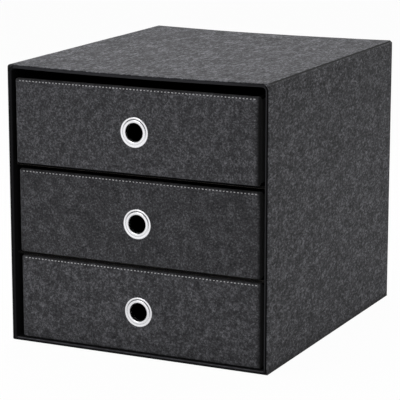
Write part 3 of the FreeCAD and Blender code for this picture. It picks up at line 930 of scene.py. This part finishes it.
def returnShell(say, front, side):
    # the felt turned back along a side of the front, painted dark as painted shade in the gap beside the case
    back = np.linspace(front["thick"] - 0.2, front["thick"] + say["return"], 8)
    up = np.linspace(front["corner"], front["height"] - front["corner"], 14)
    strip = asPoints(side * (front["halfWidth"] - 0.02), back[:, None], up[None, :])
    return sheet(strip, say["returnCloth"], side, mark=front["returnShade"])


stitchSet = {
    "half": 1.1,  # half its length
    "thick": 0.56,
    "sunk": 0.12,
    "dive": 0.55,  # how deep its ends dive into the felt
    "longer": (-0.2, 0.2),  # how much the stitches differ by hand: in length, height and slant
    "raised": (-0.2, 0.1),
    "slanted": (-0.2, 0.2),
    "along": (-1, -0.85, -0.45, 0, 0.45, 0.85, 1),
    "around": 6,
}


def stitchRow(say, front, seed):
    # Each stitch is a short thread along X whose ends dive into the felt: round across, and as thick as
    # the square root of what is left to its ends
    random = np.random.default_rng(seed)
    middle = stitchPlaces(front)
    long = say["half"] + random.uniform(*say["longer"], len(middle))
    lift = random.uniform(*say["raised"], len(middle))
    tilt = random.uniform(*say["slanted"], len(middle))
    along = np.array(say["along"])[:, None]
    turn = evenly(0, 2 * math.pi, say["around"])
    thick = say["thick"] * np.sqrt(np.clip(1.02 - along ** 2, 0, 1))
    level = rollDepthAt(front, front["stitchDown"]) - say["sunk"]
    height = front["height"] - front["stitchDown"]
    caps = np.array([[0, 1, 2, 3], [0, 3, 4, 5]])
    ends = [caps[:, ::-1], caps + say["around"] * (len(along) - 1)]
    quads = np.concatenate([joinGrid(len(along), say["around"], True), *ends])
    shells = []
    for place, half, raised, slant in zip(middle, long, lift, tilt):
        y = level - raised + say["dive"] * along ** 4 + thick * np.cos(turn)
        z = height + along * slant + thick * np.sin(turn)
        points = asPoints(place + along * half, y, z).reshape(-1, 3)
        shells.append((points, facedOut(points, quads), np.zeros(len(points))))
    return shells


def boxCover(say):
    # Outside of the drawer's box: turned over the upper edges, down the walls, round the lower edge
    # and drawn in under the base towards the middle of its front
    high = frontSet["height"]
    cloth, lower = say["cloth"], say["lowerRound"]
    turn = np.linspace(0, math.pi / 2, 5)
    inset = [[say["wall"], 2.6, 1.4], cloth * (1 - np.sin(turn)), np.zeros(10)]
    inset = np.concatenate(inset + [lower * (1 - np.cos(turn))[1:]])
    z = [[high] * 3, high - cloth * (1 - np.cos(turn)), np.linspace(high - 4, lower, 10)]
    z = np.concatenate(z + [lower * (1 - np.sin(turn))[1:]])
    radius = np.maximum(say["corner"] - inset, 0.4)
    x, y = archPath(say["halfWidth"] - inset, say["front"], say["back"] - inset, radius, say["counts"])
    walls = asPoints(x, y, z[:, None])
    points = np.concatenate([walls, shrinking(walls, np.array([0.0, say["front"], 0.0]), 10)])
    return sheet(points, cloth, -1, unevenness(points, 0.04, 50, 5))


def boxLining(say):
    # Inside of the drawer: down the walls, round the lower edge and drawn in to the middle of the front
    # of the floor
    low, corner = say["floor"], say["innerRound"]
    turn = np.linspace(0, math.pi / 2, 5)
    inset = np.concatenate([np.zeros(10), corner * (1 - np.cos(turn))[1:]])
    z = np.linspace(frontSet["height"] - 0.5, low + corner, 10)
    z = np.concatenate([z, low + corner * (1 - np.sin(turn))[1:]])
    half, front = say["halfWidth"] - say["wall"], say["front"] + say["cloth"]
    back = say["back"] - say["wall"] - inset
    x, y = archPath(half - inset, front, back, np.maximum(1.7 - inset, 0.2), say["counts"])
    walls = asPoints(x, y, z[:, None])
    points = np.concatenate([walls, shrinking(walls, np.array([0.0, front, low]), 10)])
    return sheet(points, say["liningCloth"], 1)


def liningPanel(say):
    # In front, a panel with the finger hole reaches from the floor to the hem
    half, front = say["halfWidth"] - say["wall"], say["front"] + say["cloth"]
    top = frontSet["height"] - hemSet["depth"]
    x, z = roundedOutline([half], [say["floor"]], [top], [0.5], (40, 16, 40, 3))
    outer = asPoints(x, front + 0 * x, z)[0]
    hole = roundHole(outer, np.array([0.0, front, frontSet["pullHeight"]]), frontSet["hole"])
    share = np.linspace(0, 1, 8)[:, None, None]
    return sheet(hole + (outer - hole) * share, say["liningCloth"], -1, loop=True)


eyeletSet = {
    "rim": 17.5,
    "rimWidth": 2.4,
    "rimHeight": 0.9,
    "groove": 0.3,
    "grooveAt": 14.8,  # middle of the groove
    "grooveReach": 1.1,  # how far beside it the metal is drawn up where the groove has run out
    "filled": 0.8,  # height of the metal there
    # how far to either side of the groove's middle the painted shade reaches
    "tarnishReach": 0.35,
    "crown": 14.5,
    "crownHeight": 1.6,
    "hole": 10.9,
    "barrel": 11.7,
    "washerBack": 5.5,
    "end": 6.4,
    "roll": 13.5,
    "around": 120,
}


def eyeletSection(say):
    # as (radius, Y): half-round rim, groove, full crown that rolls into the hole, barrel, and its end
    # rolled over the washer
    turn = np.linspace(0, math.pi, 15)[:-2]
    half = say["rimWidth"] / 2
    rim = np.stack([say["rim"] - half + half * np.cos(turn), -say["rimHeight"] * np.sin(turn) ** 0.7], 1)
    floor = [[say["rim"] - say["rimWidth"], -say["groove"]], [say["crown"], -say["groove"]]]
    half = (say["crown"] - say["hole"]) / 2
    turn = np.linspace(0, math.pi, 27)[2:]
    height = say["crownHeight"] * np.abs(np.sin(turn)) ** 0.8
    crown = np.stack([say["crown"] - half + half * np.cos(turn), -height], 1)
    hole, end = say["hole"], say["end"]
    barrel = [[hole, 1.5], [hole, 3.5], [hole, end - 0.4], [hole + 0.15, end - 0.1], [hole + 0.5, end]]
    turn = np.linspace(-math.pi / 2, math.pi / 2, 9)
    half = (end - say["washerBack"]) / 2
    rollBack = np.stack([say["roll"] - half + half * np.cos(turn), end - half - half * np.sin(turn)], 1)
    inside = [[say["barrel"], say["washerBack"]], [say["barrel"], 0.0]]
    return np.concatenate([rim, floor, crown, barrel, rollBack, inside])


def eyelet(say):
    # The section is turned once about the axis of the finger hole. The groove runs out at the bottom.
    section = eyeletSection(say)
    angle = evenly(0, 2 * math.pi, say["around"])
    radius, y = section[:, :1], section[:, 1:]
    away = np.abs(radius - say["grooveAt"])
    grooved = (away < say["grooveReach"]) & (y < 0.1) & (y > -say["filled"])
    depth = np.clip(0.5 + 0.65 * np.sin(angle + 0.15), 0.08, 1)
    y = np.where(grooved, y * depth - say["filled"] * (1 - depth), y + 0 * angle)
    points = asPoints(radius * np.cos(angle), y, radius * np.sin(angle) + frontSet["pullHeight"])
    # painted shade and dark reflection in the groove, strongest where it is deepest, over the upper part of
    # the ring
    tarnish = np.clip(1.8 - away / say["tarnishReach"], 0, 1) * grooved
    return ring(points, tarnish * depth ** 2)


def makeDrawer(name, seed, darker):
    low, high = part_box(name + "_front_cover")
    place = np.array([(low.x + high.x) / 2, low.y, low.z]) / mm

    def add(ending, shells, *rest):
        moved = [(points + place, quads, marks) for points, quads, marks in shells]
        makePiece(name + ending, moved, *rest)

    front = [frontFace(frontSet, seed, darker), hemShell(hemSet, frontSet)]
    front += [returnShell(hemSet, frontSet, side) for side in (-1, 1)]
    add("_front_felt", front, frontFelt, name, [name + "_front_cover"], "felt")
    add("_stitches", stitchRow(stitchSet, frontSet, seed), whiteThread, name, (), "felt")
    add("_black_cover", [boxCover(boxSet)], blackFabric, name, [name + "_body_cover"], "black_fabric")
    inside = [boxLining(boxSet), liningPanel(boxSet)]
    add("_black_lining", inside, blackFabric, name, [name + "_lining"], "black_fabric")
    add("_finger_eyelet", [eyelet(eyeletSet)], nickel, name, [name + "_eyelet"], "eyelet_metal", 60)
    print(name, "made")


for name, (seed, darker) in drawerSet.items():
    makeDrawer(name, seed, darker)


# Finishes of the CAD nodes that stay

for name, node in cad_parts.items():
    if node.hide_render:
        continue
    finish = nickel if name.endswith("washer") else greyBoard
    node.data.materials.clear()
    node.data.materials.append(finish)
print("CAD nodes finished")


# Floor, backdrop and lamps

stageSet = {
    "floor": "#e6e6e6",
    "floorWhite": 0.97,  # how much of the floor that the camera sees is plain white
    "floorHalf": 14000.0,
    "floorDown": 0.2,
    "world": "#ffffff",
    "worldStrength": 0.25,
    "white": (1, 1, 1, 1),
}


def largest(tree, first, second):
    return addNode(tree, "Math", {0: first, 1: second}, operation="MAXIMUM").outputs[0]


def seenRays(tree):
    # 1 for what the camera sees, directly, in a reflection or through something clear
    path = addNode(tree, "LightPath").outputs
    seen = largest(tree, path["Is Camera Ray"], path["Is Glossy Ray"])
    return largest(tree, seen, path["Is Transmission Ray"])


def makeFloor(say):
    half = say["floorHalf"] * mm
    low = -say["floorDown"] * mm
    mesh = bpy.data.meshes.new("floor")
    corners = [(-half, -half, low), (half, -half, low), (half, half, low), (-half, half, low)]
    mesh.from_pydata(corners, [], [(0, 1, 2, 3)])
    floor = bpy.data.objects.new("floor", mesh)
    bpy.context.scene.collection.objects.link(floor)
    values = {"Base Color": linear(say["floor"]), "Roughness": 1.0, "Specular IOR Level": 0.0}
    material, tree, shader = newMaterial("paleFloor", values)[:3]
    white = addNode(tree, "Emission", {"Color": say["white"], "Strength": 1.0})
    share = addNode(tree, "Math", {0: seenRays(tree), 1: say["floorWhite"]}, operation="MULTIPLY")
    mixed = addNode(tree, "MixShader", {0: share.outputs[0], 1: shader.outputs[0], 2: white.outputs[0]})
    setInput(tree, tree.nodes["Material Output"], "Surface", mixed.outputs[0])
    mesh.materials.append(material)


def makeWorld(say):
    world = bpy.data.worlds.new("studio")
    bpy.context.scene.world = world
    world.use_nodes = True
    tree = world.node_tree
    tree.nodes.clear()
    light = addNode(tree, "Background", {"Color": linear(say["world"]), "Strength": say["worldStrength"]})
    white = addNode(tree, "Background", {"Color": say["white"], "Strength": 1.0})
    mixed = addNode(tree, "MixShader", {0: seenRays(tree), 1: light.outputs[0], 2: white.outputs[0]})
    addNode(tree, "OutputWorld", {"Surface": mixed.outputs[0]})


# size in metres and power in watts
lamps = {
    "overhead": {"place": (-300, 650, 1650), "aim": (0, 0, 165), "size": 1.5, "power": 16.5},
    "overFront": {"place": (-200, -700, 1700), "aim": (0, 0, 165), "size": 1.2, "power": 13.7},
    "rightLow": {"place": (620, 80, 20), "aim": (165, 40, 0), "size": 0.3, "power": 0.4},
    "frontLow": {"place": (-60, -560, 60), "aim": (0, -190, 40), "size": 0.5, "power": 0.28},
}


def makeLamps(say):
    for name, lamp in say.items():
        data = bpy.data.lights.new(name, "AREA")
        data.size = lamp["size"]
        data.energy = lamp["power"]
        item = bpy.data.objects.new(name, data)
        bpy.context.scene.collection.objects.link(item)
        item.visible_camera = False
        item.location = Vector(lamp["place"]) * mm
        item.rotation_mode = "QUATERNION"
        item.rotation_quaternion = (Vector(lamp["aim"]) - Vector(lamp["place"])).to_track_quat("-Z", "Y")


makeFloor(stageSet)
makeWorld(stageSet)
makeLamps(lamps)
bpy.context.scene.view_settings.view_transform = "Standard"
print("stage and lamps set")
